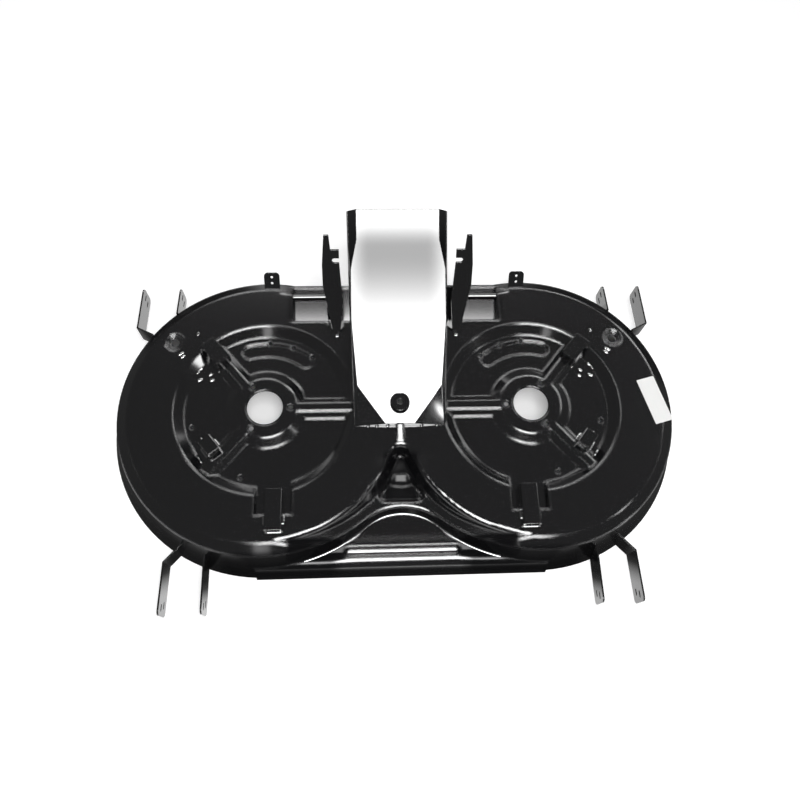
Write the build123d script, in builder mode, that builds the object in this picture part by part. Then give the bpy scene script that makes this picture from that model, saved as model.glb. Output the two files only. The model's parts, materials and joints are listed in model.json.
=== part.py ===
"""Twin-blade mower deck: a pressed steel shell with its chute cover and welded fittings, in millimetres.

X runs across the deck, Y from front to rear, Z up. The skirt stands on Z = 0.
"""

import os
from math import atan2, cos, hypot, pi, radians, sin, sqrt, tan

from build123d import *

# Sheet and plate
sheet = 2.5
strap_sheet = 3.0
bracket_sheet = 3.0
hanger_sheet = 5.0

# Blade lobes, each a stepped round pan about its spindle
lobe_gap = 1.5
lobe_lead = 3.5
top_z = 90.0
shoulder_z = 77.0
ledge_z = 60.0
skirt_z = 38.0
top_r = 246.0
wall_run = 12.0
shoulder_land = 2.0
shoulder_run = 21.0
skirt_run = 11.0
flare_run = 12.5
rim_round = 9.0
ledge_round = 6.0
foot_round = 4.0

# Front valley and front ledge
cusp_r = 18.3
bay_r = 107.3
valley_half = 50.0
valley_end = 150.0
apron_lead = 3.5
apron_past = 14.5
fold_round = 18.0
pocket_gap = 38.0
pocket_lip = 16.0
pocket_half = 44.0
pocket_depth = 9.0
pocket_round = 7.0
pocket_taper = 35.0
dome_r = 130.0
dome_gap = 11.5
dome_rise = 4.0
slot_half = 100.0
slot_in = 26.0
slot_width = 15.0
slot_depth = 5.0
ridge_width = 11.0
ridge_height = 9.5
ridge_run = 30.0

# Rear of the shell beside the chute
rear_gap = 10.0
step_x = 200.0
step_depth = 80.0
panel_gap = 6.0
panel_rise = 25.0

# Spindle seats
ring_r = 166.5
disc_r = 148.5
disc_drop = 14.0
hub_foot_r = 76.0
hub_r = 58.0
hub_rise = 10.0
spindle_hole_r = 33.0
bolt_circle_r = 47.0
bolt_hole_r = 4.5
bolt_count = 3
rib_top = 17.0
rib_base = 40.0
rib_end_r = 160.0
rib_angles = (0.0, 130.0, 230.0)
arc_r = 121.0
arc_width = 25.0
arc_start = 53.0
arc_sweep = 53.0
arc_depth = 3.0
small_hole_r = 3.0
small_hole_circle_r = 136.0
small_hole_angles = (51.0, 69.0, 88.0, 194.0, 253.0)
notch_half = 32.0
notch_reach = 200.0
notch_offset = 20.0

# Round seat at the rear corner of each lobe
seat_in = 28.2
seat_angle = 37.63
seat_r = 15.0
seat_depth = 2.5
seat_hole_r = 8.0

# Chute cover and floor
nose_y = 41.0
nose_z = 100.0
chute_slope = 0.44
chute_end_y = 312.0
nose_half = 85.0
chute_half = 92.5
hip_tip_half = 26.5
hip_y = 24.0
flank_half = 77.0
waist_half = 86.0
waist_y = 134.0
shoulder_y = 214.0
lip_half = 75.0
lip_y = 262.0
joggle_y = 181.0
joggle_rise = 2.5
shoulder_drop = 18.0
boss_y = 6.4
boss_r = 17.4
boss_z = 122.4
boss_hole_r = 5.0
sill_z = 42.0
floor_slope = 1.2
opening_margin = 6.0

# Hangers beside the chute, leaning back with the chute
hanger_foot_lead = 26.0
hanger_lean = 55.0
hanger_length = 195.0
hanger_out = 138.0
hanger_in = 102.0
hanger_tip = 8.0
hanger_foot = 20.0
hanger_ledge = 16.0
hook_r = 4.5
hook_up = 147.0
hook_x = 115.0
gusset_x = 133.0
bar_r = 7.0
bar_in = 24.0
bar_z = 82.0

# Rear tabs
tab_in = 6.5
tab_width = 30.0
tab_length = 52.0
tab_foot_in = 10.0
tab_foot_z = 72.0
tab_lean = 47.0
tab_hole_r = 2.5
tab_hole_pitch = 12.0
tab_hole_in = 9.0

# Wheel straps, placed from the outermost point of each lobe's top and from its radius
strap_height = 48.0
rear_strap_z = 34.0
front_strap_z = 4.0
rear_end_past = 10.0
rear_outer_in = 2.0
rear_bend_out = 2.0
rear_bend_lead = 77.0
rear_weld_in = 63.5
rear_weld_lead = 109.0
rear_inner_in = 73.5
rear_inner_foot_in = 66.5
front_end_past = 115.0
front_outer_in = 72.5
front_bend_in = 75.5
front_bend_past = 26.0
front_weld_in = 113.5
front_weld_lead = 15.0
front_inner_in = 145.0
strap_slot_pitch = 16.0
strap_slot_width = 5.0
strap_slot_length = 13.0
strap_slot_in = 14.0
strap_slot_stagger = 5.0
strap_corner = 9.0

# Brackets on the spindle discs
rear_bracket_angle = 131.0
rear_bracket_in_r = 117.0
rear_bracket_out_r = 170.0
rear_bracket_width = 29.0
front_bracket_angle = 219.0
front_bracket_in_r = 108.0
front_bracket_out_r = 134.0
front_bracket_width = 31.0
bracket_rise = 16.0
lift_in = 22.5
lift_width = 31.0
lift_rear_y = 158.0
lift_front_in = 15.0
lift_rise = 14.0

# Paper label lying on the right lobe, blank
label_in = 10.9
label_y = 2.0
label_length = 92.0
label_width = 35.0
label_angle = 105.0
label_thick = 0.4
label_corner = 2.0

# Lobes: the skirt is one straight cone from the shoulder's lip down past the ledge of the valley
half_pitch = top_r + lobe_gap
lobe_side = half_pitch + top_r
fold_r = top_r + shoulder_land
shoulder_r = fold_r + shoulder_run
slope_r = shoulder_r + skirt_run
slope_run = skirt_run * (ledge_z - skirt_z) / (shoulder_z - skirt_z)
ledge_r = slope_r - slope_run
wall_r = top_r + wall_run
bottom_r = slope_r + flare_run
front_y = lobe_lead + slope_r + apron_lead
front_half = half_pitch + apron_past
rear_y = top_r + rear_gap
step_y = rear_y - step_depth
panel_y = step_y + panel_gap
front_end_y = top_r + front_end_past

# The chute's end is square to its sloping top, and its floor runs up to it
chute_end_z = nose_z + chute_slope * (chute_end_y + nose_y) + joggle_rise
floor_start_y = rear_y + slope_run
end_reach = chute_end_y + chute_slope * (chute_end_z - sill_z + floor_slope * floor_start_y)
mouth_y = end_reach / (1 + chute_slope * floor_slope)
mouth_z = sill_z + floor_slope * (mouth_y - floor_start_y)

# The spindle line lies where the whole part is centred front to rear
spindle_y = (front_end_y - mouth_y) / 2

# Derived outlines
disc_z = top_z - disc_drop
hub_z = disc_z + hub_rise
lobe_y = spindle_y - lobe_lead
cusp_y = lobe_lead + sqrt((top_r + cusp_r) ** 2 - half_pitch**2) - cusp_r
bay_y = lobe_lead + sqrt((ledge_r + bay_r) ** 2 - half_pitch**2) - bay_r
pocket_tip_y = cusp_y + pocket_gap
pocket_base_y = bay_y - pocket_lip
dome_y = cusp_y + dome_gap
slot_y = front_y - slot_in
seat_x = half_pitch + (top_r - seat_in) * cos(radians(seat_angle))
seat_y = (top_r - seat_in) * sin(radians(seat_angle))
tab_x = half_pitch - tab_in
tab_foot_y = top_r - tab_foot_in
hanger_foot_y = step_y - hanger_foot_lead
bar_y = rear_y - bar_in
lift_x = half_pitch - lift_in
lift_front_y = top_r - lift_front_in
rear_end_y = top_r + rear_end_past
rear_outer_x = lobe_side - rear_outer_in
rear_bend_x = lobe_side + rear_bend_out
rear_bend_y = top_r - rear_bend_lead
rear_weld_x = lobe_side - rear_weld_in
rear_weld_y = top_r - rear_weld_lead
rear_inner_x = lobe_side - rear_inner_in
rear_inner_foot_x = lobe_side - rear_inner_foot_in
front_outer_x = lobe_side - front_outer_in
front_bend_x = lobe_side - front_bend_in
front_bend_y = top_r + front_bend_past
front_weld_x = lobe_side - front_weld_in
front_weld_y = top_r - front_weld_lead
front_inner_x = lobe_side - front_inner_in
label_x = half_pitch + top_r - label_in
reach = 2 * (half_pitch + bottom_r)


def level(z):
    """Horizontal sketch plane at height z, with its origin on the spindle line."""
    return Plane((0, spindle_y, z))


def across(x, y=spindle_y):
    """Upright sketch plane at x, from y: its first axis runs to the rear and its second one up."""
    return Plane(origin=(x, y, 0), x_dir=(0, 1, 0), z_dir=(1, 0, 0))


def lean_inset(depth, run, rise):
    """Plan inset of a leaning wall, lowered by depth, when it lies that depth inside its outer face."""
    return depth * tan(pi / 4 - atan2(run, rise) / 2)


def bend_shift(depth, run, rise):
    """Plan shift of a bend between a flat and a slope when both lie that depth inside."""
    return depth * tan(atan2(rise, run) / 2)


def frustum(side, y, low_r, high_r, low_z, high_z, mode=Mode.ADD):
    """Adds a round block with a leaning wall on one side at y, its seam towards the middle."""
    with Locations((side * half_pitch, y, low_z)):
        Cone(
            low_r,
            high_r,
            high_z - low_z,
            rotation=(0, 0, 90 + 90 * side),
            align=(Align.CENTER, Align.CENTER, Align.MIN),
            mode=mode,
        )


def frustums(y, low_r, high_r, low_z, high_z):
    """Adds a round block with a leaning wall on both sides at y."""
    for side in (-1, 1):
        frustum(side, y, low_r, high_r, low_z, high_z)


def prism(points, half, y=spindle_y):
    """Adds a bar with the given side outline, drawn from y, between minus half and plus half."""
    with BuildSketch(across(-half, y)) as outline:
        with BuildLine():
            Polyline(*points, close=True)
        make_face()
    extrude(outline.sketch, amount=2 * half)


def tangent_y(centre_y, r):
    """Distance ahead of the lobes' middle where a round blend at centre_y meets a lobe of radius r."""
    return centre_y * r / hypot(half_pitch, centre_y)


def blended_block(radius, run, blend_r, blend_front, low_z, high_z, inset, rear):
    """Two leaning round blocks joined across the middle, with a round concave front and a flat rear."""
    centre_y = blend_front + blend_r - lobe_lead
    rear_y_high = rear - inset + lobe_lead
    r_high = radius - inset
    r_low = r_high + run
    with BuildPart() as block:
        prism(
            [
                (-tangent_y(centre_y, r_low), low_z),
                (rear_y_high + run, low_z),
                (rear_y_high, high_z),
                (-tangent_y(centre_y, r_high), high_z),
            ],
            half_pitch,
            lobe_y,
        )
        with Locations((0, lobe_y - centre_y, low_z)):
            Cone(
                blend_r + inset - run,
                blend_r + inset,
                high_z - low_z,
                align=(Align.CENTER, Align.CENTER, Align.MIN),
                mode=Mode.SUBTRACT,
            )
        frustums(lobe_y, r_low, r_high, low_z, high_z)
    return block.part


def pan_blocks(depth):
    """The stepped pan as a solid whose faces lie depth inside the outer faces."""
    rim_in = lean_inset(depth, wall_run, top_z - ledge_z)
    ledge_in = lean_inset(depth, slope_run, ledge_z - skirt_z)
    skirt_in = lean_inset(depth, flare_run, skirt_z)
    with BuildPart() as pan:
        rim_low = ledge_z - depth
        add(blended_block(top_r, wall_run, cusp_r, cusp_y, rim_low, top_z - depth, rim_in, step_y))
        with BuildSketch(level(ledge_z - depth)):
            with Locations((0, step_y - depth)):
                Rectangle(2 * (step_x + depth), reach, align=(Align.CENTER, Align.MIN))
        extrude(amount=top_z, mode=Mode.SUBTRACT)
        ledge_low = skirt_z - depth
        add(blended_block(ledge_r, slope_run, bay_r, bay_y, ledge_low, ledge_z - depth, ledge_in, rear_y))
        frustums(lobe_y, bottom_r - skirt_in, slope_r - skirt_in, -depth, skirt_z - depth)
        rear_low = rear_y + slope_run - skirt_in
        with BuildSketch(across(skirt_in - front_half)) as skirt:
            with BuildLine():
                Polyline(
                    (-front_y - flare_run + skirt_in, -depth),
                    (rear_low + flare_run, -depth),
                    (rear_low, skirt_z - depth),
                    (-front_y + skirt_in, skirt_z - depth),
                    close=True,
                )
            make_face()
            fold = skirt.vertices().sort_by(Axis.Y)[-2:].sort_by(Axis.X)[0]
            fillet(fold, fold_round - depth)
        extrude(skirt.sketch, amount=2 * (front_half - skirt_in))
        prism(
            [
                (panel_y, ledge_z - depth),
                (rear_y - depth, ledge_z - depth),
                (rear_y - depth, ledge_z + panel_rise - depth),
            ],
            step_x + 2 * sheet - depth,
        )
    return pan.part


def on_level(edges, z):
    """The edges that lie in the horizontal plane at z."""
    return edges.filter_by_position(Axis.Z, z - 0.01, z + 0.01)


def rounded(pan, depth):
    """Rounds the press edges of the pan: raised edges shrink and hollow ones grow inside the sheet."""
    with BuildPart() as result:
        add(pan)
        rim = on_level(result.edges(), top_z - depth).filter_by(GeomType.CIRCLE)
        fillet(rim, rim_round - depth)
        ledge = on_level(result.edges(), ledge_z - depth).filter_by(GeomType.CIRCLE)
        lip = [e for e in ledge if e.radius > ledge_r - 2 * sheet or abs(e.radius - bay_r) < 2 * sheet]
        fillet(lip, ledge_round - depth)
        ledge = on_level(result.edges(), ledge_z - depth).filter_by(GeomType.CIRCLE)
        foot = [e for e in ledge if abs(e.radius - wall_r) < sheet or e.radius < 2 * cusp_r]
        fillet(foot, foot_round + depth)
    return result.part


def polar(side, angle, r, z):
    """Point at a radius and angle about a spindle; the angle is the left one's and mirrored for the right."""
    turn = radians(angle if side < 0 else 180 - angle)
    return Vector(side * half_pitch + r * cos(turn), spindle_y + r * sin(turn), z)


def seats(depth):
    """Recess of each spindle disc as a solid to cut, lowered by depth."""
    ring = bend_shift(depth, ring_r - disc_r, disc_drop)
    with BuildPart() as recess:
        frustums(spindle_y, disc_r + ring, ring_r + ring, disc_z - depth, top_z - depth)
    return recess.part


def hubs(depth):
    """Raised hub and its ribs on each disc as a solid to add, lowered by depth."""
    foot = bend_shift(depth, hub_foot_r - hub_r, hub_rise)
    side_run = (rib_base - rib_top) / 2
    rib_in = bend_shift(depth, side_run, hub_rise)
    with BuildPart() as raised:
        frustums(spindle_y, hub_foot_r - foot, hub_r - foot, disc_z - depth, hub_z - depth)
        for side in (-1, 1):
            for angle in rib_angles:
                centre = polar(side, angle, 0, disc_z - depth)
                out = polar(side, angle, 1, disc_z - depth) - centre
                with BuildSketch(Plane(origin=centre, x_dir=out.cross(Vector(0, 0, 1)), z_dir=out)):
                    with BuildLine():
                        Polyline(
                            (-rib_base / 2 + rib_in, 0),
                            (rib_base / 2 - rib_in, 0),
                            (rib_top / 2 - rib_in, -hub_rise),
                            (-rib_top / 2 + rib_in, -hub_rise),
                            close=True,
                        )
                    make_face()
                extrude(amount=rib_end_r)
    return raised.part


def above(points, side, depth):
    """Large block over the plane through three points, mirrored to a side and lowered by depth."""
    low, mid, far = (Vector(side * p.X, p.Y, p.Z) for p in points)
    normal = (mid - low).cross(far - low).normalized()
    if normal.Z < 0:
        normal = normal * -1
    with BuildPart() as block:
        with BuildSketch(Plane(origin=low - normal * depth, z_dir=normal)):
            Rectangle(2 * reach, 2 * reach)
        extrude(amount=reach)
    return block.part


def shoulder(side, depth):
    """Sloping shoulder and skirt of one lobe, sinking to the ledge towards the front valley."""
    fold_in = lean_inset(depth, shoulder_run, top_z - shoulder_z)
    skirt_in = lean_inset(depth, skirt_run, shoulder_z - skirt_z)
    height = top_z - skirt_z
    fall = shoulder_run * height / (top_z - shoulder_z)
    lean = skirt_run * height / (shoulder_z - skirt_z)
    low, high = skirt_z - depth, top_z - depth
    sink = (
        Vector(valley_half, spindle_y, ledge_z),
        Vector(valley_half, spindle_y - front_y, ledge_z),
        Vector(valley_end, spindle_y, shoulder_z),
    )
    with BuildPart() as lobe:
        frustum(side, lobe_y, slope_r - skirt_in, slope_r - skirt_in - lean, low, high)
        frustum(side, lobe_y, fold_r - fold_in + fall, fold_r - fold_in, low, high, Mode.INTERSECT)
        add(above(sink, side, depth), mode=Mode.SUBTRACT)
        with BuildSketch(level(ledge_z - depth)) as recess:
            with Locations((0, step_y - depth)):
                Rectangle(2 * (step_x + depth), reach, align=(Align.CENTER, Align.MIN))
        extrude(recess.sketch, amount=top_z, mode=Mode.SUBTRACT)
    return lobe.part


def pocket(depth):
    """Three-cornered hollow of the front valley, its floor domed up to the rear corner."""
    with BuildPart() as hollow:
        with BuildSketch(level(ledge_z - pocket_depth - depth)) as floor:
            with BuildLine():
                Polyline(
                    (-pocket_half, -pocket_base_y),
                    (pocket_half, -pocket_base_y),
                    (0, -pocket_tip_y),
                    close=True,
                )
            make_face()
            offset(amount=depth / 2, kind=Kind.INTERSECTION)
            fillet(floor.vertices().group_by(Axis.Y)[-1], 2 * pocket_round + depth / 2)
            fillet(floor.vertices().group_by(Axis.Y)[0], pocket_round + depth / 2)
        extrude(floor.sketch, amount=pocket_depth, taper=-pocket_taper)
        with Locations((0, spindle_y - dome_y, ledge_z - dome_r + dome_rise)):
            Sphere(dome_r - depth, mode=Mode.SUBTRACT)
    return hollow.part


def pressings(depth):
    """Hollows pressed into the pan as solids to cut, lowered by depth and widened by it."""
    side_in = bend_shift(depth, slot_depth, slot_depth)
    with BuildPart() as hollows:
        add(seats(depth))
        add(pocket(depth))
        with BuildSketch(level(skirt_z - slot_depth - depth)) as slot:
            with Locations((0, -slot_y)):
                SlotOverall(2 * (slot_half + side_in), slot_width - slot_depth + 2 * side_in)
        extrude(slot.sketch, amount=slot_depth, taper=-45)
        for side in (-1, 1):
            with BuildSketch(level(top_z - seat_depth - depth)) as seat:
                with Locations((side * seat_x, seat_y)):
                    Circle(seat_r + side_in)
            extrude(seat.sketch, amount=seat_depth, taper=-45)
            with BuildSketch(level(disc_z - arc_depth - depth)) as arc:
                start = arc_start if side < 0 else 180 - arc_start - arc_sweep
                with BuildLine(mode=Mode.PRIVATE) as middle:
                    CenterArc((side * half_pitch, 0), arc_r, start, arc_sweep)
                SlotArc(middle.edges()[0], arc_width + 2 * side_in)
            extrude(arc.sketch, amount=arc_depth, taper=-30)
            with BuildSketch(level(disc_z - depth)) as notch:
                with Locations((side * (half_pitch - notch_offset), -notch_reach - depth)):
                    Rectangle(
                        2 * (notch_half + depth), notch_reach - disc_r / 2, align=(Align.CENTER, Align.MIN)
                    )
            extrude(notch.sketch, amount=disc_drop)
    return hollows.part


def raised(depth):
    """Forms raised out of the pan as solids to add, lowered by depth."""
    with BuildPart() as forms:
        add(hubs(depth))
        foot_z = ledge_z - depth
        prism(
            [
                (-nose_y - ridge_run, foot_z),
                (-nose_y + 2 * opening_margin, foot_z),
                (-nose_y + 2 * opening_margin, top_z + ridge_height - depth),
                (-nose_y, top_z + ridge_height - depth),
                (-nose_y - ridge_run, top_z - depth),
            ],
            ridge_width / 2 - depth,
        )
    return forms.part


pan_outer = rounded(pan_blocks(0.0), 0.0)
pan_inner = rounded(pan_blocks(sheet), sheet)

with BuildPart() as pan_solid:
    add(pan_outer)
    add(shoulder(-1, 0.0))
    add(shoulder(1, 0.0))
    add(pressings(0.0), mode=Mode.SUBTRACT)
    add(raised(0.0))

with BuildPart() as pan_hollow:
    add(pan_inner)
    add(shoulder(-1, sheet))
    add(shoulder(1, sheet))
    add(pressings(sheet), mode=Mode.SUBTRACT)
    add(raised(sheet))

opening_half = nose_half - opening_margin
spindles = [(side * half_pitch, 0) for side in (-1, 1)]

with BuildPart() as deck_shell:
    add(pan_solid.part)
    add(pan_hollow.part, mode=Mode.SUBTRACT)
    # Chute opening through the top and the rear wall, above the sill
    with BuildSketch(level(sill_z)):
        with Locations((0, -nose_y + opening_margin)):
            Rectangle(2 * opening_half, reach, align=(Align.CENTER, Align.MIN))
    extrude(amount=top_z, mode=Mode.SUBTRACT)
    # Spindle holes, their bolt holes and the small fixing holes
    with BuildSketch(level(sill_z)):
        with Locations(*spindles):
            Circle(spindle_hole_r)
        for side in (-1, 1):
            for turn in range(bolt_count):
                place = polar(side, turn * 360 / bolt_count, bolt_circle_r, 0)
                with Locations((place.X, place.Y - spindle_y)):
                    Circle(bolt_hole_r)
            for angle in small_hole_angles:
                place = polar(side, angle, small_hole_circle_r, 0)
                with Locations((place.X, place.Y - spindle_y)):
                    Circle(small_hole_r)
            with Locations((side * seat_x, seat_y)):
                Circle(seat_hole_r)
    extrude(amount=top_z, mode=Mode.SUBTRACT)


def chute_top(y):
    """Height of the chute's sloping top, which rises by one sheet before its rear lip."""
    rise = min(max((y - joggle_y) / (lip_y - joggle_y), 0), 1)
    return nose_z + chute_slope * (y + nose_y) + joggle_rise * rise**2


def chute_side(y):
    """Half width of the chute at a distance behind the spindle line."""
    return nose_half + (chute_half - nose_half) * (y + nose_y) / (chute_end_y + nose_y)


def chute_point(x, y, drop):
    """Point at half width x and a distance behind the spindle line, dropped from the chute's top."""
    return Vector(x, spindle_y + y, chute_top(y) - drop)


def chute_form(depth):
    """Chute as a solid whose faces lie depth inside; the rear end and the underside of it stay open."""
    front = depth - nose_y
    rear = mouth_y + depth
    drop = depth * hypot(1, chute_slope)
    margin = 2 * boss_r
    high = 3 * chute_end_z
    hip = (
        chute_point(hip_tip_half, -nose_y, 0),
        chute_point(nose_half, -nose_y, nose_z - top_z),
        chute_point(flank_half, hip_y, 0),
    )
    lip = (
        chute_point(lip_half, lip_y, 0),
        chute_point(lip_half, chute_end_y, 0),
        chute_point(chute_side(lip_y), lip_y, shoulder_drop),
    )
    shoulder = (
        chute_point(lip_half, lip_y, 0),
        chute_point(waist_half, shoulder_y, 0),
        chute_point(chute_side(lip_y), lip_y, shoulder_drop),
    )
    waist = (
        chute_point(waist_half, waist_y, 0),
        chute_point(waist_half, shoulder_y, 0),
        chute_point(chute_side(waist_y), waist_y, shoulder_drop / 2),
    )
    flank = (
        chute_point(waist_half, waist_y, 0),
        chute_point(flank_half, hip_y, 0),
        chute_point(chute_side(hip_y), hip_y, shoulder_drop / 2),
    )
    with BuildPart() as form:
        with BuildSketch(level(sill_z - depth)) as plan:
            with BuildLine():
                Polyline(
                    (depth - chute_side(front), front),
                    (chute_side(front) - depth, front),
                    (chute_side(rear) - depth, rear),
                    (depth - chute_side(rear), rear),
                    close=True,
                )
            make_face()
        extrude(plan.sketch, amount=2 * chute_end_z)
        with BuildSketch(across(-reach / 2)) as over:
            with BuildLine():
                bends = [joggle_y, (joggle_y + lip_y) / 2, lip_y]
                ThreePointArc(*[(y, chute_top(y) - drop) for y in bends])
                Polyline(
                    (lip_y, chute_top(lip_y) - drop),
                    (rear + margin, chute_top(rear + margin) - drop),
                    (rear + margin, high),
                    (front - margin, high),
                    (front - margin, chute_top(front - margin) - drop),
                    (joggle_y, chute_top(joggle_y) - drop),
                )
            make_face()
        extrude(over.sketch, amount=reach, mode=Mode.SUBTRACT)
        with BuildSketch(across(-reach / 2)) as behind:
            with BuildLine():
                Polyline(
                    (chute_end_y + drop - chute_slope * (high - chute_end_z), high),
                    (chute_end_y + drop + chute_slope * chute_end_z, 0),
                    (rear + reach, 0),
                    (rear + reach, high),
                    close=True,
                )
            make_face()
        extrude(behind.sketch, amount=reach, mode=Mode.SUBTRACT)
        for side in (-1, 1):
            for points in (hip, waist, flank):
                add(above(points, side, depth), mode=Mode.SUBTRACT)
            with BuildPart(mode=Mode.PRIVATE) as corner:
                add(above(lip, side, depth))
                add(above(shoulder, side, depth), mode=Mode.INTERSECT)
            add(corner.part, mode=Mode.SUBTRACT)
        with BuildSketch(level(top_z - depth)) as boss:
            with Locations((0, -boss_y)):
                Circle(boss_r - depth)
        extrude(boss.sketch, amount=boss_z - top_z)
    return form.part


def floor_line(lift):
    """Side outline points of the chute floor, lifted by a distance, from the rear wall to the mouth."""
    far = mouth_y + 2 * sheet
    far_z = sill_z + floor_slope * (far - floor_start_y)
    return [(rear_y, sill_z + lift), (floor_start_y, sill_z + lift), (far, far_z + lift)]


def side_slab(side):
    """Upright slab just outside the inner face of a chute side, from the nose wall to the mouth."""
    front = sheet - nose_y
    rear = mouth_y + sheet
    with BuildPart() as slab:
        with BuildSketch(level(0)) as plan:
            with BuildLine():
                Polyline(
                    (side * (chute_side(front) - sheet), front),
                    (side * reach, front),
                    (side * reach, rear),
                    (side * (chute_side(rear) - sheet), rear),
                    close=True,
                )
            make_face()
        extrude(plan.sketch, amount=2 * chute_end_z)
    return slab.part


with BuildPart() as chute_shell:
    add(chute_form(0.0))
    add(chute_form(sheet), mode=Mode.SUBTRACT)
    add(pan_solid.part, mode=Mode.SUBTRACT)
    # The sides stop at the underside of the chute floor
    with BuildSketch(across(-reach / 2)):
        with BuildLine():
            Polyline(*floor_line(0), (floor_line(0)[-1][0], 0), (rear_y, 0), close=True)
        make_face()
    extrude(amount=reach, mode=Mode.SUBTRACT)
    with BuildSketch(level(top_z)):
        with Locations((0, -boss_y)):
            Circle(boss_hole_r)
    extrude(amount=boss_z, mode=Mode.SUBTRACT)

with BuildPart() as chute_cover:
    add(chute_shell.part)
    add(side_slab(-1), mode=Mode.SUBTRACT)
    add(side_slab(1), mode=Mode.SUBTRACT)

with BuildPart() as chute_floor:
    with BuildSketch(across(-reach / 2)):
        with BuildLine():
            Polyline(*floor_line(0), *reversed(floor_line(sheet)), close=True)
        make_face()
    extrude(amount=reach)
    add(chute_form(sheet), mode=Mode.INTERSECT)
    add(chute_form(0.0), mode=Mode.INTERSECT)
    add(pan_solid.part, mode=Mode.SUBTRACT)

with BuildPart() as paper_label:
    with BuildSketch(level(top_z)) as paper:
        with Locations(Location((label_x, label_y, 0), (0, 0, label_angle))):
            RectangleRounded(label_length, label_width, label_corner)
    extrude(paper.sketch, amount=label_thick)


def chute_wall(side):
    """Upright side plate of the chute, from the deck top up to the cover's shoulder."""
    with BuildPart() as result:
        add(chute_shell.part)
        add(side_slab(side), mode=Mode.INTERSECT)
    return result.part


def hanger(side):
    """Leaning hook plate with a gusset behind it, its foot on the shell."""
    lean = radians(hanger_lean)
    origin = (0, spindle_y + hanger_foot_y, top_z)
    face = Plane(origin=origin, x_dir=(1, 0, 0), z_dir=(0, -sin(lean), cos(lean)))
    jaw = hook_up + hook_r
    with BuildPart() as result:
        with BuildSketch(face) as outline:
            with BuildLine():
                Polyline(
                    (side * (hanger_in + hanger_tip), -hanger_foot),
                    (side * hanger_in, hanger_length / 3),
                    (side * (hanger_in + hook_r), hook_up - hook_r),
                    (side * hook_x, hook_up - hook_r),
                    (side * hook_x, jaw),
                    (side * (hanger_in + hook_r), jaw),
                    (side * (hanger_in + hook_r), jaw + hanger_ledge),
                    (side * (hanger_out - 2 * hanger_tip), jaw + hanger_ledge),
                    (side * (hanger_out - 2 * hanger_tip + hook_r / 2), hanger_length),
                    (side * (hanger_out - hook_r), hanger_length),
                    (side * hanger_out, hook_up - hanger_tip),
                    (side * hanger_out, hanger_length / 2),
                    (side * (hanger_in + 2 * hanger_tip), -hanger_foot),
                    close=True,
                )
            make_face()
            with Locations((side * hook_x, hook_up)):
                Circle(hook_r, mode=Mode.SUBTRACT)
        extrude(outline.sketch, amount=-hanger_sheet)
        low = hanger_length / 3
        high = hanger_length * 3 / 4
        web = gusset_x - hanger_sheet if side > 0 else -gusset_x
        with BuildSketch(across(web)) as gusset:
            with BuildLine():
                Polyline(
                    (hanger_foot_y + low * cos(lean), top_z + low * sin(lean)),
                    (hanger_foot_y + high * cos(lean), top_z + high * sin(lean)),
                    (rear_y - 2 * hanger_sheet, top_z + high * sin(lean)),
                    (rear_y - 2 * hanger_sheet, ledge_z),
                    (step_y + 2 * hanger_tip, ledge_z),
                    close=True,
                )
            make_face()
        extrude(gusset.sketch, amount=hanger_sheet)
        with BuildSketch(face) as front:
            Rectangle(reach, reach)
        extrude(front.sketch, amount=reach, mode=Mode.SUBTRACT)
        add(pan_solid.part, mode=Mode.SUBTRACT)
    return result.part


def hanger_bar(side):
    """Round bar from the hanger's gusset to the step beside the lobe."""
    with BuildPart() as result:
        with BuildSketch(across(side * gusset_x)) as ring:
            with Locations((bar_y, bar_z)):
                Circle(bar_r)
        extrude(ring.sketch, amount=side * (step_x - gusset_x))
        add(pan_solid.part, mode=Mode.SUBTRACT)
    return result.part


def rear_tab(side):
    """Leaning tab with two holes behind the rear rim."""
    lean = radians(tab_lean)
    origin = (side * tab_x, spindle_y + tab_foot_y, tab_foot_z)
    with BuildPart() as result:
        face = Plane(origin=origin, x_dir=(1, 0, 0), z_dir=(0, -sin(lean), cos(lean)))
        with BuildSketch(face) as outline:
            Rectangle(tab_width, tab_length, align=(Align.CENTER, Align.MIN))
            fillet(outline.vertices().group_by(Axis.Z)[-1], tab_width / 4)
            with Locations((0, tab_length - tab_hole_in), (0, tab_length - tab_hole_in - tab_hole_pitch)):
                Circle(tab_hole_r, mode=Mode.SUBTRACT)
        extrude(outline.sketch, amount=-bracket_sheet)
        add(pan_solid.part, mode=Mode.SUBTRACT)
    return result.part


def strap(points, low_z):
    """Upright strap along plan points, its free end first, with two axle slots there."""
    end_x, end_y = points[0]
    inward = 1 if end_y < 0 else -1
    with BuildPart() as result:
        with BuildSketch(level(low_z)) as plan:
            with BuildLine(mode=Mode.PRIVATE) as path:
                Polyline(*points)
            trace(path.line, strap_sheet)
        extrude(plan.sketch, amount=strap_height)
        short = [e for e in result.edges() if e.length < 2 * strap_sheet]
        tips = [e for e in short if abs(e.center().Y - spindle_y - end_y) < 1]
        fillet([e for e in tips if abs(e.tangent_at(0).Z) < 0.1], strap_corner)
        with BuildSketch(across(end_x - reach / 20)) as slots:
            middle = low_z + strap_height / 2
            for step in (-1, 1):
                place = end_y + inward * (strap_slot_in + strap_slot_stagger * (1 - step) / 2)
                with Locations((place, middle + step * strap_slot_pitch / 2)):
                    SlotOverall(strap_slot_length, strap_slot_width)
        extrude(slots.sketch, amount=reach / 10, mode=Mode.SUBTRACT)
        add(pan_solid.part, mode=Mode.SUBTRACT)
        # Nothing of the strap stands on the shoulder
        lobes = ((-half_pitch, lobe_y), (half_pitch, lobe_y))
        with Locations(*lobes):
            Cylinder(shoulder_r, 2 * top_z, mode=Mode.SUBTRACT)
    return result.part


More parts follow.
